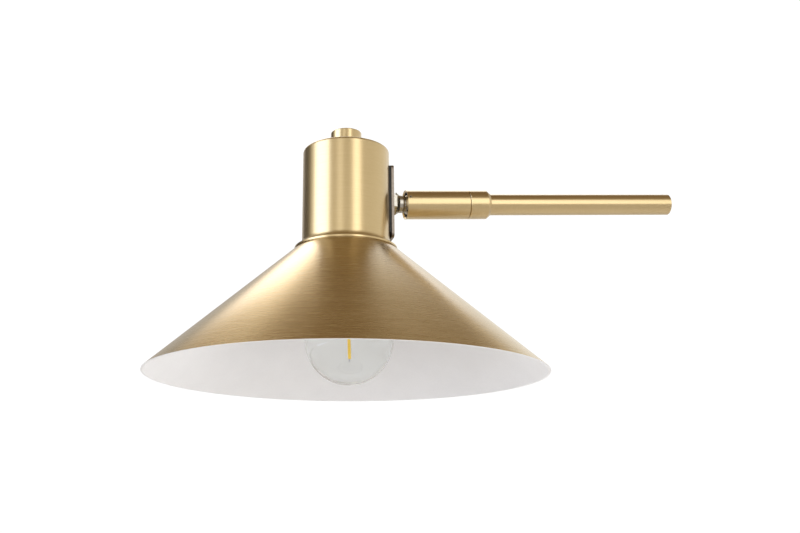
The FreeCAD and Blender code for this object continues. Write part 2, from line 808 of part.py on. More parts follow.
def make_shade():
    """Spun sheet cone with a flat crown; the wall keeps the sheet's thickness square to its slope."""
    rise = dim("crown_height").value
    run = dim("rim_radius").value - dim("crown_radius").value
    slope_length = math.hypot(rise, run)
    sheet_thick = dim("shade_sheet")
    across = sheet_thick * round(slope_length / rise, 6)
    corner_in = round((slope_length - run) / rise, 6)
    body = turned("shade", [
        (dim("shade_hole"), dim("crown_height") - sheet_thick),
        (dim("shade_hole"), dim("crown_height")),
        (dim("crown_radius"), dim("crown_height")),
        (dim("rim_radius"), 0),
        (dim("rim_radius") - across, 0),
        (dim("crown_radius") - sheet_thick * corner_in, dim("crown_height") - sheet_thick)])
    node(body, "shade", HEAD)


# ---------------------------------------------------------------- switch and knob


def make_switch():
    roof_low = dim("cup_top") - dim("cup_roof")
    body = turned("switch_body", [
        (0, dim("switch_low")),
        (dim("switch_radius"), dim("switch_low")),
        (dim("switch_radius"), roof_low),
        (dim("bushing_radius"), roof_low),
        (dim("bushing_radius"), dim("bushing_top")),
        (dim("shaft_radius") + dim("running_gap"), dim("bushing_top")),
        (dim("shaft_radius") + dim("running_gap"), dim("shaft_low") - 0.1),
        (0, dim("shaft_low") - 0.1)])
    node(body, "switch_body", HEAD)
    node(nut("switch_nut", dim("cup_top")), "switch_nut", HEAD)


def make_knob():
    body = turned("knob", [
        (dim("knob_recess_radius"), dim("knob_low")),
        (dim("knob_radius"), dim("knob_low")),
        (dim("knob_radius"), dim("knob_top")),
        (0, dim("knob_top")),
        (0, dim("shaft_top")),
        (dim("shaft_radius"), dim("shaft_top")),
        (dim("shaft_radius"), dim("knob_recess_top")),
        (dim("knob_recess_radius"), dim("knob_recess_top"))])
    dress(body, "Fillet", dim("knob_round"), ring_at(dim("knob_radius").value, dim("knob_top").value))
    place = dim("knob_screw_place").value
    inner = dim("knob_screw_inner").value
    outer = dim("knob_radius").value
    hole = cross_hole("knob_screw_hole", dim("grub_radius"), place, BACK, inner, outer + 1)
    node(cut("knob", body, hole), "knob", HEAD)
    shaft = cylinder("knob_shaft_rod", dim("shaft_radius"), dim("shaft_top") - dim("shaft_low"))
    bind(shaft, "Placement.Base.z", dim("shaft_low"))
    dimple = cross_hole("shaft_dimple", dim("grub_radius"), place, BACK, inner, outer)
    node(cut("knob_shaft", shaft, dimple), "knob_shaft", HEAD)
    node(grub("knob_screw", dim("grub_radius"), inner, outer - 0.4, place, BACK), "knob_screw", HEAD)


# ---------------------------------------------------------------- lampholder

TERMINAL_DEEP = 3.0


def make_lampholder():
    """Ceramic holder with a flange on the shade's crown, its brass shell and its centre contact."""
    crown = dim("crown_height")
    flange_top = crown + dim("holder_flange_thick")
    body = turned("lampholder_body", [
        (dim("holder_cavity"), dim("holder_low")),
        (dim("holder_radius"), dim("holder_low")),
        (dim("holder_radius"), crown),
        (dim("holder_flange"), crown),
        (dim("holder_flange"), flange_top),
        (dim("holder_radius"), flange_top),
        (dim("holder_radius"), dim("holder_top")),
        (dim("nipple_radius"), dim("holder_top")),
        (dim("nipple_radius"), dim("nipple_low")),
        (0, dim("nipple_low")),
        (0, dim("cavity_top")),
        (dim("holder_cavity"), dim("cavity_top"))])
    foot = dim("holder_top").value - TERMINAL_DEEP
    holes = [cylinder(f"terminal_hole_{side}", dim("grub_radius"), TERMINAL_DEEP + 1,
                      Placement(Vector(0, side * dim("terminal_out").value, foot), Rotation()))
             for side in (-1, 1)]
    node(cut("lampholder_body", body, *holes), "lampholder_body", HEAD)
    outer = dim("holder_cavity") - dim("fit_gap")
    shell = tube("lampholder_shell", outer - dim("shell_wall"), outer, dim("shell_low"), dim("cavity_top"))
    node(shell, "lampholder_shell", HEAD)
    contact_low = dim("cavity_top") - dim("shell_wall")
    contact = rod("centre_contact", dim("nipple_radius"), contact_low, dim("cavity_top"))
    node(contact, "centre_contact", HEAD)


def make_terminal_screws():
    """The two wire screws on top of the lampholder, as one group."""
    top = dim("holder_top")
    head_radius = 2.6
    head_rise = 1.6
    screws = []
    for side in (-1, 1):
        screw = turned(f"terminal_screw_{side + 1}", [
            (0, top - TERMINAL_DEEP),
            (dim("grub_radius"), top - TERMINAL_DEEP),
            (dim("grub_radius"), top),
            (head_radius, top),
            (head_radius, top + head_rise),
            (0, top + head_rise)])
        screw.Placement = Placement(Vector(0, side * dim("terminal_out").value, 0), Rotation())
        screws.append(screw)
    node(joined("terminal_screws_join", *screws), "terminal_screws", HEAD)


def make_nipple():
    node(tube("nipple", dim("nipple_bore"), dim("nipple_radius"), dim("nipple_low"), dim("nipple_top")),
         "nipple", HEAD)
    lower = nut("nipple_nut_lower", dim("shelf_low") - dim("nut_thickness"))
    upper = nut("nipple_nut_upper", dim("shelf_low") + dim("shelf_thickness"))
    node(joined("nipple_nuts_join", lower, upper), "nipple_nuts", HEAD)


def make_shade_ring():
    high = dim("crown_height") - dim("shade_sheet")
    node(tube("shade_ring", dim("holder_radius"), dim("ring_outer"), high - dim("ring_height"), high),
         "shade_ring", HEAD)


# ---------------------------------------------------------------- bulb


def glass_outline(inset):
    """Half outline of the bulb: a round end and a hollow curve that runs tangent into the neck."""
    round_radius = dim("glass_radius").value - inset
    centre = dim("glass_centre").value
    neck = dim("neck_glass_radius").value - inset
    top = dim("neck_glass_top").value
    rise = top - centre
    hollow = (neck ** 2 + rise ** 2 - round_radius ** 2) / (2 * (round_radius - neck))
    hollow_centre = Vector(neck + hollow, 0, top)
    round_centre = Vector(0, 0, centre)
    towards = (hollow_centre - round_centre).normalize()
    meeting = round_centre + towards * round_radius
    half_turn = math.atan2(meeting.x, centre - meeting.z) / 2
    round_middle = Vector(round_radius * math.sin(half_turn), 0, centre - round_radius * math.cos(half_turn))
    fall = math.asin((top - meeting.z) / hollow) / 2
    hollow_middle = hollow_centre - Vector(hollow * math.cos(fall), 0, hollow * math.sin(fall))
    bottom = Vector(0, 0, centre - round_radius)
    return [Part.Arc(bottom, round_middle, meeting).toShape(),
            Part.Arc(meeting, hollow_middle, Vector(neck, 0, top)).toShape()]


def make_bulb_glass():
    inset = dim("glass_wall").value
    top = dim("neck_glass_top").value
    neck = dim("neck_glass_radius").value
    centre = dim("glass_centre").value
    radius = dim("glass_radius").value
    outer = glass_outline(0)
    inner = glass_outline(inset)
    rim = Part.makeLine(Vector(neck, 0, top), Vector(neck - inset, 0, top))
    bottom = Part.makeLine(Vector(0, 0, centre - radius), Vector(0, 0, centre - radius + inset))
    wire = Part.Wire(Part.__sortEdges__(outer + inner + [rim, bottom]))
    glass = doc.addObject("Part::Feature", "bulb_glass_shell")
    glass.Shape = Part.Face(wire).revolve(Vector(), Vector(0, 0, 1), 360)
    node(glass, "bulb_glass", BULB)


def make_bulb_cap():
    wall = dim("cap_wall")
    cement_gap = 0.2
    crown_top = dim("cap_high") + dim("cap_crown_rise")
    cap = turned("bulb_cap", [
        (dim("cap_radius") - wall, dim("cap_low")),
        (dim("cap_radius"), dim("cap_low")),
        (dim("cap_radius"), dim("cap_high")),
        (dim("cap_crown"), crown_top),
        (dim("cap_crown"), crown_top - wall),
        (dim("cap_radius") - wall, dim("cap_high") - wall),
        (dim("cap_radius") - wall, dim("neck_glass_top") + cement_gap * 3),
        (dim("neck_glass_radius") + cement_gap * 0.5, dim("neck_glass_top") + cement_gap * 3),
        (dim("neck_glass_radius") + cement_gap * 0.5, dim("neck_glass_top") + cement_gap),
        (dim("cap_radius") - wall, dim("neck_glass_top") + cement_gap)])
    node(cap, "bulb_cap", BULB)
    insulator = turned("bulb_insulator", [
        (0, crown_top - wall),
        (dim("cap_crown"), crown_top - wall),
        (dim("cap_crown"), crown_top),
        (dim("insulator_tip"), dim("tip_low")),
        (0, dim("tip_low"))])
    node(insulator, "bulb_insulator", BULB)
    tip = turned("bulb_tip", [
        (0, dim("tip_low")),
        (dim("tip_radius"), dim("tip_low")),
        (dim("tip_round"), dim("tip_high")),
        (0, dim("tip_high"))])
    node(tip, "bulb_tip", BULB)


def make_bulb_inside():
    """Glass stem, one upright filament, and the wires that hold its two ends."""
    stem = turned("bulb_stem", [
        (0, dim("stem_low")),
        (dim("stem_radius") - 1, dim("stem_low")),
        (dim("stem_radius"), dim("stem_low") + 3),
        (dim("stem_radius"), dim("neck_glass_top") - 8),
        (dim("neck_glass_radius") - 1, dim("neck_glass_top") - 1),
        (dim("neck_glass_radius") - 1, dim("neck_glass_top")),
        (0, dim("neck_glass_top"))])
    node(stem, "bulb_stem", BULB)
    filament = rod("bulb_filament", dim("filament_radius"), dim("filament_low"), dim("filament_high"))
    node(filament, "bulb_filament", BULB)
    make_bulb_wires()


def make_bulb_wires():
    """A straight wire above the filament, and a hooked one that runs down behind it to its foot."""
    wire = dim("wire_radius")
    foot = dim("filament_low").value
    behind = dim("wire_offset").value
    sag = 2.0
    upper = cylinder("wire_upper", wire, dim("stem_low") - dim("filament_high"))
    bind(upper, "Placement.Base.z", dim("filament_high"))
    hook = swept("wire_hook", wire.value, [
        Vector(0, 0, foot),
        Vector(0, 0, foot - sag),
        Vector(0, behind, foot - sag),
        Vector(0, behind, dim("stem_low").value)])
    node(joined("bulb_wires_join", upper, hook), "bulb_wires", BULB)


# ---------------------------------------------------------------- leads


def make_leads():
    radius = dim("lead_radius").value
    pivot = dim("pivot_up").value
    rise = dim("lead_rise").value
    out = -dim("holder_lead_out").value
    switch_low = dim("switch_low").value
    stud_end = dim("pivot_out").value - dim("lead_gap").value
    head_route = [Vector(stud_end, 0, pivot), Vector(rise, 0, pivot), Vector(rise, 0, switch_low)]
    holder_route = [Vector(out, 0, switch_low), Vector(out, 0, dim("holder_top").value)]
    arm_route = [Vector(0, 0, dim("lead_gap").value), Vector(0, 0, dim("connector_start").value)]
    node(swept("head_lead_wire", radius, head_route), "head_lead", HEAD)
    node(swept("holder_lead_wire", radius, holder_route), "lampholder_lead", HEAD)
    node(swept("arm_lead_wire", radius, arm_route), "arm_lead", ARM)
    block = rod("lead_connector", dim("connector_radius"), dim("connector_start"), dim("connector_end"))
    node(block, "lead_connector", ARM)


# ---------------------------------------------------------------- whole light


def check_and_write():
    """Stop on any failed feature or bad shape, then write one STEP file per node."""
    doc.recompute()
    for thing in doc.Objects:
        if "Invalid" in thing.State or "Error" in thing.State:
            raise RuntimeError(f"{thing.Name} failed: {thing.State}")
    for thing in NODES:
        if thing.Shape.isNull() or not thing.Shape.isValid():
            raise RuntimeError(f"{thing.Label} has no valid shape")
    os.makedirs("parts", exist_ok=True)
    for thing in NODES:
        thing.Shape.exportStep(f"parts/{thing.Label}.step")
        print(f"{thing.Label}: {len(thing.Shape.Solids)} solid(s), {thing.Shape.Volume / 1000:.2f} cm3")


make_arm()
make_swivel()
make_stud_side()
make_cup()
make_shade()
make_switch()
make_knob()
make_lampholder()
make_terminal_screws()
make_nipple()
make_shade_ring()
make_bulb_glass()
make_bulb_cap()
make_bulb_inside()
make_leads()
check_and_write()
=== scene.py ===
import json
import math

import bmesh
import bpy
from mathutils import Matrix, Vector


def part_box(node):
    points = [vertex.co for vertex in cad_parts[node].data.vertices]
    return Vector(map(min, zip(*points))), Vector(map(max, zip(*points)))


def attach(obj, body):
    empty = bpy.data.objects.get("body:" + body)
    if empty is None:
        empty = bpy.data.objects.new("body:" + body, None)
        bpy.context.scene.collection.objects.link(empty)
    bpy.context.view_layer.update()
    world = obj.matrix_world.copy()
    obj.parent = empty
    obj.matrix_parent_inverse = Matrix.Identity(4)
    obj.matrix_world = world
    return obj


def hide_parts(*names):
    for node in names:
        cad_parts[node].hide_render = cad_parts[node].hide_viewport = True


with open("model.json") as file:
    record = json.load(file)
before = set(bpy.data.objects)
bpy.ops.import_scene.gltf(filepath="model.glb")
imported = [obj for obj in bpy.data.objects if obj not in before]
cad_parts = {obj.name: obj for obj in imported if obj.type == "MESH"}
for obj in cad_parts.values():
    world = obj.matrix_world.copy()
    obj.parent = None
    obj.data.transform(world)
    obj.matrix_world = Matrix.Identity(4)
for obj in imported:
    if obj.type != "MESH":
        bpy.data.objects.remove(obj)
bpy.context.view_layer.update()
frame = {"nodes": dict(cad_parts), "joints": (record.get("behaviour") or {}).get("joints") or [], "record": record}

JOINTS = {joint["name"]: joint for joint in frame["joints"]}
NODES = frame["nodes"]


# ---------------------------------------------------------------- frames


def frame_from(along, origin):
    """A frame whose Z runs along the given direction and whose Y is the world's Y."""
    z_axis = Vector(along).normalized()
    y_axis = Vector((0, 1, 0))
    x_axis = y_axis.cross(z_axis).normalized()
    turn = Matrix((x_axis, y_axis, z_axis)).transposed()
    return Matrix.Translation(Vector(origin)) @ turn.to_4x4()


PIVOT = Vector(JOINTS["head_tilt"]["pos_m"])
LAMP_AXIS = Vector(JOINTS["switch_turn"]["axis"]).normalized()
ARM = frame_from(JOINTS["head_roll"]["axis"], PIVOT)


def lamp_frame():
    """The head's frame: origin at the centre of the shade's rim, Z up the lamp axis."""
    start = Vector(JOINTS["switch_turn"]["pos_m"])
    rim = min(vertex.co.dot(LAMP_AXIS) for vertex in NODES["shade"].data.vertices)
    return frame_from(LAMP_AXIS, start + LAMP_AXIS * (rim - start.dot(LAMP_AXIS)))


HEAD = lamp_frame()


def turned_size(node, place):
    """Largest radius, lowest and highest place of a CAD node about a frame's Z."""
    inward = place.inverted()
    points = [inward @ vertex.co for vertex in NODES[node].data.vertices]
    radius = max(math.hypot(p.x, p.y) for p in points)
    return radius, min(p.z for p in points), max(p.z for p in points)


# ---------------------------------------------------------------- node helpers


class Tree:
    """Small helpers for building one node tree."""

    def __init__(self, tree):
        self.tree = tree

    def node(self, kind, **settings):
        made = self.tree.nodes.new(kind)
        for key, value in settings.items():
            setattr(made, key, value)
        return made

    def put(self, socket, side):
        """Give a socket a number, a colour or a link."""
        if isinstance(side, bpy.types.NodeSocket):
            self.tree.links.new(side, socket)
        elif isinstance(side, tuple) and len(side) == 3 and socket.type == "RGBA":
            socket.default_value = (*side, 1)
        else:
            socket.default_value = side

    def math(self, operation, first, second=0.0):
        made = self.node("ShaderNodeMath", operation=operation)
        self.put(made.inputs[0], first)
        self.put(made.inputs[1], second)
        return made.outputs[0]

    def dot(self, first, second):
        made = self.node("ShaderNodeVectorMath", operation="DOT_PRODUCT")
        self.put(made.inputs[0], first)
        self.put(made.inputs[1], second)
        return made.outputs["Value"]

    def ramp(self, value, low, high, out_low=0.0, out_high=1.0):
        """Smooth step of a value between two levels."""
        made = self.node("ShaderNodeMapRange", interpolation_type="SMOOTHSTEP")
        for key, side in (("Value", value), ("From Min", low), ("From Max", high),
                          ("To Min", out_low), ("To Max", out_high)):
            self.put(made.inputs[key], side)
        return made.outputs["Result"]

    def mix(self, factor, first, second):
        made = self.node("ShaderNodeMix", data_type="RGBA")
        self.put(made.inputs[0], factor)
        self.put(made.inputs[6], first)
        self.put(made.inputs[7], second)
        return made.outputs[2]

    def noise(self, vector, scale, detail=2.0, roughness=0.5):
        made = self.node("ShaderNodeTexNoise")
        for key, side in (("Vector", vector), ("Scale", scale), ("Detail", detail), ("Roughness", roughness)):
            self.put(made.inputs[key], side)
        return made.outputs["Fac"]

    def bump(self, height, strength, distance):
        made = self.node("ShaderNodeBump")
        self.put(made.inputs["Height"], height)
        self.put(made.inputs["Strength"], strength)
        self.put(made.inputs["Distance"], distance)
        return made.outputs["Normal"]


def new_material(name, **sockets):
    """A Principled material with its uniform values set straight on the shader."""
    made = bpy.data.materials.new(name)
    made.use_nodes = True
    tree = Tree(made.node_tree)
    shader = made.node_tree.nodes["Principled BSDF"]
    for key, value in sockets.items():
        tree.put(shader.inputs[key.replace("_", " ")], value)
    return made, tree, shader


def local_point(tree, place):
    """Object coordinates turned into a frame; no frame is needed where the piece is drawn in its own."""
    point = tree.node("ShaderNodeTexCoord").outputs["Object"]
    if place is None:
        return point
    inward = place.inverted()
    made = tree.node("ShaderNodeMapping", vector_type="POINT")
    tree.put(made.inputs["Vector"], point)
    made.inputs["Location"].default_value = inward.to_translation()
    made.inputs["Rotation"].default_value = inward.to_euler("XYZ")
    return made.outputs["Vector"]


RING_SLOPE = 0.9
AXIS_GUARD = 0.0005


def brushed(name, deep, light, roughness, place, axis, grain):
    """Metal brushed round a frame's Z: fine rings, a soft cloud of lacquer and handling, and a radial sheen.

    A larger grain gives stronger rings. They follow height less RING_SLOPE times radius, so they show on
    walls, cones and flat ends alike. AXIS_GUARD keeps the division clear of zero on the axis."""
    made, tree, shader = new_material(name, Metallic=1.0, Anisotropic=0.8, Anisotropic_Rotation=0.25,
                                      Coat_Weight=1.0, Coat_Roughness=0.22)
    point = local_point(tree, place)
    split = tree.node("ShaderNodeSeparateXYZ")
    tree.put(split.inputs[0], point)
    squares = tree.math("ADD", tree.math("MULTIPLY", split.outputs[0], split.outputs[0]),
                        tree.math("MULTIPLY", split.outputs[1], split.outputs[1]))
    across = tree.math("SQRT", squares)
    along = tree.math("SUBTRACT", split.outputs[2], tree.math("MULTIPLY", across, RING_SLOPE))
    round_x = tree.math("DIVIDE", split.outputs[0], tree.math("ADD", across, AXIS_GUARD))
    round_y = tree.math("DIVIDE", split.outputs[1], tree.math("ADD", across, AXIS_GUARD))

    def rings(turns, pitch, detail):
        joined = tree.node("ShaderNodeCombineXYZ")
        tree.put(joined.inputs[0], tree.math("MULTIPLY", round_x, turns))
        tree.put(joined.inputs[1], tree.math("MULTIPLY", round_y, turns))
        tree.put(joined.inputs[2], tree.math("DIVIDE", along, pitch))
        return tree.noise(joined.outputs[0], 1.0, detail, 0.6)

    coarse = rings(2.2, 0.0009, 3.0)
    fine = rings(6.0, 0.00035, 2.0)
    cloud = tree.noise(point, 16.0, 4.0, 0.55)
    spread = 0.2 / max(grain, 0.35)
    mark = tree.math("ADD", tree.math("MULTIPLY", coarse, 0.6), tree.math("MULTIPLY", fine, 0.4))
    tone = tree.math("ADD", tree.math("MULTIPLY", mark, 0.7), tree.math("MULTIPLY", cloud, 0.3))
    tree.put(shader.inputs["Base Color"], tree.mix(tree.ramp(tone, 0.5 - spread, 0.5 + spread), deep, light))
    uneven = tree.math("ADD", tree.math("MULTIPLY", mark, 0.10 * grain), tree.math("MULTIPLY", cloud, 0.06))
    tree.put(shader.inputs["Roughness"], tree.math("ADD", uneven, roughness - 0.05 * grain - 0.03))
    tree.put(shader.inputs["Normal"], tree.bump(mark, 0.2 * grain, 0.00003))
    tangent = tree.node("ShaderNodeTangent", direction_type="RADIAL", axis=axis)
    tree.put(shader.inputs["Tangent"], tangent.outputs[0])
    return made


def plain(name, base, darker, roughness, metallic=0.0, scale=300, bump=0.1, **sockets):
    """A material with a fine even texture and a broad soft change of tone."""
    made, tree, shader = new_material(name, Metallic=metallic, **sockets)
    point = tree.node("ShaderNodeTexCoord").outputs["Object"]
    fine = tree.noise(point, scale, 3.0)
    broad = tree.noise(point, scale * 0.06, 3.0)
    tone = tree.math("ADD", tree.math("MULTIPLY", fine, 0.5), tree.math("MULTIPLY", broad, 0.5))
    tree.put(shader.inputs["Base Color"], tree.mix(tree.ramp(tone, 0.35, 0.65), darker, base))
    uneven = tree.math("MULTIPLY", tone, 0.16)
    tree.put(shader.inputs["Roughness"], tree.math("ADD", uneven, roughness - 0.08))
    tree.put(shader.inputs["Normal"], tree.bump(fine, bump, 0.0001))
    return made


# ---------------------------------------------------------------- meshes


def rounded(corners, steps=6):
    """Outline from (radius, height, rounding) corners, each rounded by an arc."""
    points = []
    count = len(corners)
    for index, (across, up, size) in enumerate(corners):
        here = Vector((across, up))
        if size <= 0:
            points.append(here)
            continue
        before = (Vector(corners[index - 1][:2]) - here).normalized()
        after = (Vector(corners[(index + 1) % count][:2]) - here).normalized()
        half = before.angle(after) / 2
        centre = here + (before + after).normalized() * (size / math.sin(half))
        start = here + before * (size / math.tan(half)) - centre
        last = here + after * (size / math.tan(half)) - centre
        begin = math.atan2(start.y, start.x)
        sweep = (math.atan2(last.y, last.x) - begin + math.pi) % (2 * math.pi) - math.pi
        for step in range(steps + 1):
            angle = begin + sweep * step / steps
            points.append(centre + Vector((math.cos(angle), math.sin(angle))) * size)
    return points


ON_AXIS = 1e-7
SHARP_ANGLE = math.radians(32)


def lathe(name, outline, place, body, segments=128, closed=True):
    """A mesh turned about a frame's Z, drawn in that frame, that rides on a CAD body."""
    mesh = bpy.data.meshes.new(name)
    work = bmesh.new()
    rings = []
    for across, up in outline:
        if across < ON_AXIS:
            rings.append([work.verts.new((0, 0, up))])
            continue
        rings.append([work.verts.new((across * math.cos(2 * math.pi * i / segments),
                                      across * math.sin(2 * math.pi * i / segments), up))
                      for i in range(segments)])
    pairs = list(zip(rings, rings[1:]))
    if closed:
        pairs.append((rings[-1], rings[0]))
    for first, second in pairs:
        if len(first) == 1 and len(second) == 1:
            continue
        for i in range(segments):
            after = (i + 1) % segments
            corners = [first[i % len(first)], first[after % len(first)],
                       second[after % len(second)], second[i % len(second)]]
            work.faces.new(list(dict.fromkeys(corners)))
    bmesh.ops.recalc_face_normals(work, faces=work.faces)
    work.to_mesh(mesh)
    work.free()
    mesh.shade_smooth()
    mesh.set_sharp_from_angle(angle=SHARP_ANGLE)
    piece = bpy.data.objects.new(name, mesh)
    bpy.context.scene.collection.objects.link(piece)
    piece.matrix_world = place
    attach(piece, body)
    return piece


def dress(thing, *materials):
    """Give a piece its materials."""
    thing.data.materials.clear()
    for made in materials:
        thing.data.materials.append(made)


# ---------------------------------------------------------------- materials

BRASS_DEEP = (0.63, 0.47, 0.22)
BRASS_LIGHT = (0.76, 0.59, 0.32)

head_brass = brushed("head_brass", BRASS_DEEP, BRASS_LIGHT, 0.27, None, "Z", 1.4)
cad_head_brass = brushed("cad_head_brass", BRASS_DEEP, BRASS_LIGHT, 0.33, HEAD, "Z", 0.4)
arm_brass = brushed("arm_brass", BRASS_DEEP, BRASS_LIGHT, 0.30, ARM, "X", 0.3)
turned_brass = plain("turned_brass", (0.76, 0.57, 0.30), (0.62, 0.43, 0.20), 0.3, metallic=1.0, scale=500)
nickel = plain("nickel", (0.55, 0.52, 0.46), (0.42, 0.39, 0.33), 0.26, metallic=1.0, scale=700)
plate_steel = plain("plate_steel", (0.34, 0.295, 0.25), (0.24, 0.20, 0.165), 0.40, metallic=1.0, scale=700)
zinc = plain("zinc", (0.62, 0.63, 0.64), (0.48, 0.49, 0.51), 0.38, metallic=1.0, scale=600, bump=0.2)
rubber = plain("rubber", (0.035, 0.035, 0.037), (0.02, 0.02, 0.021), 0.7, scale=900, bump=0.4)
plastic = plain("plastic", (0.045, 0.045, 0.048), (0.03, 0.03, 0.032), 0.5, scale=800, bump=0.2)
nylon = plain("nylon", (0.82, 0.80, 0.74), (0.74, 0.71, 0.64), 0.45, scale=500)
ceramic = plain("ceramic", (0.86, 0.85, 0.82), (0.80, 0.78, 0.74), 0.22, scale=250, bump=0.08,
                Coat_Weight=0.4)
black_glass = plain("black_glass", (0.03, 0.03, 0.035), (0.015, 0.015, 0.02), 0.2, scale=400, bump=0.05)
enamel = plain("white_enamel", (0.86, 0.86, 0.865), (0.83, 0.83, 0.835), 0.5, scale=900, bump=0.12)
# The filament's yellow is its phosphor coat's own colour; the weak emission on it is a painted glow that brightens
# the strip inside the glass, though the lamp is off.
phosphor_and_painted_glow = plain("phosphor_and_painted_glow", (0.98, 0.68, 0.08), (0.92, 0.58, 0.05), 0.5, scale=1500, bump=0.3,
                 Emission_Color=(1.0, 0.66, 0.09), Emission_Strength=0.3)
sheath = plain("lead_sheath", (0.08, 0.08, 0.085), (0.05, 0.05, 0.052), 0.6, scale=900, bump=0.3)


def clear_glass(name, roughness):
    """Clear blown glass with the faint waves of its mould."""
    made, tree, shader = new_material(name, Transmission_Weight=1.0, IOR=1.46, Roughness=roughness)
    shader.inputs["Base Color"].default_value = (0.97, 0.985, 0.98, 1)
    point = tree.node("ShaderNodeTexCoord").outputs["Object"]
    wave = tree.noise(point, 35.0, 2.0)
    tree.put(shader.inputs["Normal"], tree.bump(wave, 0.25, 0.0004))
    return made


glass = clear_glass("clear_glass", 0.0)
stem_glass = clear_glass("stem_glass", 0.03)

SLOT_MATERIALS = {
    "satin_brass": arm_brass, "plain_brass": turned_brass, "nickel_steel": nickel, "zinc_steel": zinc,
    "cap_nickel": nickel, "black_rubber": rubber, "black_plastic": plastic, "nylon": nylon,
    "white_ceramic": ceramic, "clear_glass": stem_glass, "black_glass": black_glass,
    "filament_yellow": phosphor_and_painted_glow, "lead_sheath": sheath,
}


BEVELLED = ("stud_outer_nut", "swivel_plate", "plate_screws", "collar", "sleeve", "arm_tube")
BEVEL_WIDTH = 0.00025
BEVEL_ANGLE = math.radians(40)


def dress_cad_nodes():
    """Every CAD node takes the material of its slot, and the turned and cut pieces in view get small bevels."""
    slots = {part["node"]: part["material_slot"] for part in frame["record"]["subparts"]}
    for name, thing in NODES.items():
        dress(thing, SLOT_MATERIALS[slots[name]])
    for name in ("cup", "knob"):
        dress(NODES[name], cad_head_brass)
    dress(NODES["swivel_plate"], plate_steel)
    for name in BEVELLED:
        bevel = NODES[name].modifiers.new("edge", "BEVEL")
        bevel.width = BEVEL_WIDTH
        bevel.segments = 2
        bevel.limit_method = "ANGLE"
        bevel.angle_limit = BEVEL_ANGLE
        bevel.harden_normals = True


dress_cad_nodes()


# ---------------------------------------------------------------- shade


def build_shade():
    """Spun cone of sheet metal: brushed brass outside, white enamel inside."""
    rim, low, high = turned_size("shade", HEAD)
    points = [HEAD.inverted() @ vertex.co for vertex in NODES["shade"].data.vertices]
    crown = max(math.hypot(p.x, p.y) for p in points if p.z > high - 1e-5)
    hole = min(math.hypot(p.x, p.y) for p in points)
    sheet = high - max(p.z for p in points if p.z < high - 1e-4)
    slope = math.hypot(rim - crown, high)
    across = sheet * slope / high
    corner = sheet * (slope - (rim - crown)) / high
    edge = 0.0003
    sharp_edge = 0.0001
    bend = 0.0012
    inner_bend = 0.001
    outline = rounded([
        (hole, high - sheet, edge),
        (hole, high, edge),
        (crown, high, bend),
        (rim, low, sharp_edge),
        (rim - across, low, edge),
        (crown - corner, high - sheet, inner_bend)])
    piece = lathe("shade_cone", outline, HEAD, "lamp_head", 256)
    dress(piece, head_brass, enamel)
    for face in piece.data.polygons:
        faces_down = face.normal.z < -0.05
        face.material_index = 1 if faces_down else 0
    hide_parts("shade")


build_shade()


# ---------------------------------------------------------------- bulb


def bulb_frame():
    """The bulb's own frame: from the middle of the filament towards the tip contact of the cap."""
    low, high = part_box("bulb_tip")
    cap = (low + high) / 2
    low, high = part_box("bulb_filament")
    middle = (low + high) / 2
    return frame_from(cap - middle, middle)


BULB = bulb_frame()


def build_filament():
    """Phosphor-coated strip: a row of chips swells its coat, and both ends are blunt."""
    radius, low, high = turned_size("bulb_filament", BULB)
    beads = 26
    samples = beads * 4
    blunt = 0.0003
    outline = [Vector((0, low)), Vector((radius - blunt, low))]
    for step in range(samples + 1):
        up = low + blunt + (high - low - 2 * blunt) * step / samples
        swell = 0.95 + 0.05 * math.cos(2 * math.pi * beads * step / samples)
        outline.append(Vector((radius * swell, up)))
    outline += [Vector((radius - blunt, high)), Vector((0, high))]
    piece = lathe("filament_strip", outline, BULB, "lamp_head", 24, closed=False)
    dress(piece, phosphor_and_painted_glow)
    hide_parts("bulb_filament")


build_filament()
dress(NODES["bulb_glass"], glass)


# ---------------------------------------------------------------- camera

CAMERA_AZIMUTH = -10.2
CAMERA_ELEVATION = -14.6
CAMERA_ROLL = -3.3
CAMERA_DISTANCE = 0.645
CAMERA_TARGET = Vector((-0.2483, 0, -0.0443))
CAMERA_LENS = 42.4
CAMERA_SHIFT = 0.075


def build_camera():
    azimuth = math.radians(CAMERA_AZIMUTH)
    elevation = math.radians(CAMERA_ELEVATION)
    back = Vector((math.sin(azimuth) * math.cos(elevation), -math.cos(azimuth) * math.cos(elevation),
                   math.sin(elevation)))
    data = bpy.data.cameras.new("camera")
    data.sensor_width = 36
    data.lens = CAMERA_LENS
    data.shift_x = CAMERA_SHIFT
    camera = bpy.data.objects.new("camera", data)
    bpy.context.scene.collection.objects.link(camera)
    aim = (-back).to_track_quat("-Z", "Y").to_matrix().to_4x4()
    roll = Matrix.Rotation(math.radians(CAMERA_ROLL), 4, "Z")
    camera.matrix_world = Matrix.Translation(CAMERA_TARGET + back * CAMERA_DISTANCE) @ aim @ roll
    data.clip_start = 0.01
    bpy.context.scene.camera = camera


build_camera()


# ---------------------------------------------------------------- studio

# The sky's own tone at a few elevations: pale round the horizon, dim and warm overhead.
SKY = [(-90, (0.80, 0.77, 0.72)), (0, (0.90, 0.87, 0.80)), (20, (0.90, 0.87, 0.80)), (45, (0.30, 0.23, 0.15)),
       (90, (0.20, 0.13, 0.06))]

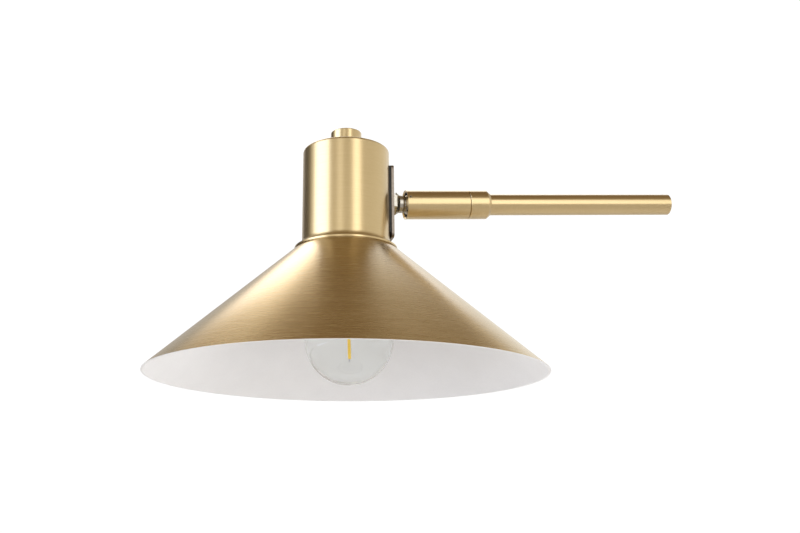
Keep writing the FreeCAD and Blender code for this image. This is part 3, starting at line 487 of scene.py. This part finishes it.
# Each soft box or flag: azimuth from and to, elevation from and to in degrees, brightness and tint.
# Azimuth is measured from the side the camera stands on, positive to the camera's right.
PANEL_EDGE = 7
BACKDROP_STRENGTH = 1.05
WHITE = (1.0, 1.0, 1.0)
WARM = (1.0, 0.93, 0.84)
DAYLIGHT = (0.9, 1.0, 1.2)
KEY_BOX = (-90, -45, -10, 45, 3.0, DAYLIGHT)
FRONT_STRIP = (-20, -7, -10, 35, 1.5, WHITE)
RIGHT_STRIP = (20, 40, -10, 35, 2.5, WHITE)
LEFT_FLAG = (-150, -105, -10, 35, 0.1, WARM)
BACK_LEFT_BOX = (-190, -150, 38, 58, 3.5, WARM)
BACK_LEFT_FLAG = (-190, -150, -10, 30, 0.5, WARM)
BACK_RIGHT_BOX = (150, 190, 30, 60, 1.5, WHITE)
PANELS = [KEY_BOX, FRONT_STRIP, RIGHT_STRIP, LEFT_FLAG, BACK_LEFT_BOX, BACK_LEFT_FLAG, BACK_RIGHT_BOX]


def panel_mask(tree, turn, rise, left, right, low, high):
    """One inside a panel of the sky, zero outside it, with soft edges."""
    mask = tree.math("MULTIPLY", tree.ramp(turn, left - PANEL_EDGE, left + PANEL_EDGE),
                     tree.ramp(turn, right - PANEL_EDGE, right + PANEL_EDGE, 1.0, 0.0))
    mask = tree.math("MULTIPLY", mask, tree.ramp(rise, low - PANEL_EDGE, low + PANEL_EDGE))
    return tree.math("MULTIPLY", mask, tree.ramp(rise, high - PANEL_EDGE, high + PANEL_EDGE, 1.0, 0.0))


def sky_angles(tree):
    """Azimuth from the camera's side and elevation of a direction of the sky, in degrees."""
    way = tree.node("ShaderNodeTexCoord").outputs["Generated"]
    azimuth = math.radians(CAMERA_AZIMUTH)
    front = (math.sin(azimuth), -math.cos(azimuth), 0)
    right = (math.cos(azimuth), math.sin(azimuth), 0)
    turn = tree.math("ARCTAN2", tree.dot(way, right), tree.dot(way, front))
    rise = tree.math("ARCSINE", tree.dot(way, (0, 0, 1)))
    return tree.math("MULTIPLY", turn, 180 / math.pi), tree.math("MULTIPLY", rise, 180 / math.pi)


def build_world():
    """A studio painted on the sky in soft panels, with a plain white backdrop that only camera rays see."""
    world = bpy.data.worlds.new("studio")
    world.use_nodes = True
    bpy.context.scene.world = world
    world.node_tree.nodes.clear()
    tree = Tree(world.node_tree)
    turn, rise = sky_angles(tree)
    colour = SKY[0][1]
    for (low, _), (high, tone) in zip(SKY, SKY[1:]):
        colour = tree.mix(tree.ramp(rise, low, high), colour, tone)
    for left, right, low, high, brightness, tint in PANELS:
        lit = tuple(brightness * part for part in tint)
        colour = tree.mix(panel_mask(tree, turn, rise, left, right, low, high), colour, lit)
    studio = tree.node("ShaderNodeBackground")
    tree.put(studio.inputs["Color"], colour)
    backdrop = tree.node("ShaderNodeBackground")
    backdrop.inputs["Color"].default_value = (1, 1, 1, 1)
    backdrop.inputs["Strength"].default_value = BACKDROP_STRENGTH
    choose = tree.node("ShaderNodeMixShader")
    tree.put(choose.inputs[0], tree.node("ShaderNodeLightPath").outputs["Is Camera Ray"])
    tree.put(choose.inputs[1], studio.outputs[0])
    tree.put(choose.inputs[2], backdrop.outputs[0])
    output = tree.node("ShaderNodeOutputWorld")
    tree.put(output.inputs[0], choose.outputs[0])


FILL_DISTANCE = 1.3
FILL_WIDTH = 1.0
FILL_HEIGHT = 0.6


def panel_light(name, turn, rise, power):
    """A soft area light aimed at the lamp; it lights the object but isn't seen itself."""
    angle = math.radians(CAMERA_AZIMUTH + turn)
    lift = math.radians(rise)
    way = Vector((math.sin(angle) * math.cos(lift), -math.cos(angle) * math.cos(lift), math.sin(lift)))
    data = bpy.data.lights.new(name, "AREA")
    data.shape = "RECTANGLE"
    data.size = FILL_WIDTH
    data.size_y = FILL_HEIGHT
    data.energy = power
    light = bpy.data.objects.new(name, data)
    bpy.context.scene.collection.objects.link(light)
    aim = HEAD.to_translation()
    facing = way.to_track_quat("Z", "Y").to_matrix().to_4x4()
    light.matrix_world = Matrix.Translation(aim + way * FILL_DISTANCE) @ facing
    light.visible_camera = False
    light.visible_glossy = False
    light.visible_transmission = False


def build_floor():
    """A large pale floor well below the lamp, as under a fitting on a wall."""
    reach = 8.0
    level = -1.2
    corners = [(-reach, -reach, level), (reach, -reach, level), (reach, reach, level), (-reach, reach, level)]
    mesh = bpy.data.meshes.new("floor")
    mesh.from_pydata(corners, [], [(0, 1, 2, 3)])
    floor = bpy.data.objects.new("floor", mesh)
    bpy.context.scene.collection.objects.link(floor)
    dress(floor, plain("floor_paint", (0.86, 0.855, 0.85), (0.84, 0.835, 0.83), 0.8, scale=40, bump=0.02))


build_world()
build_floor()
panel_light("fill_right", turn=55, rise=-22, power=4)
panel_light("fill_behind", turn=180, rise=-30, power=8)
bpy.context.scene.view_settings.view_transform = "Standard"
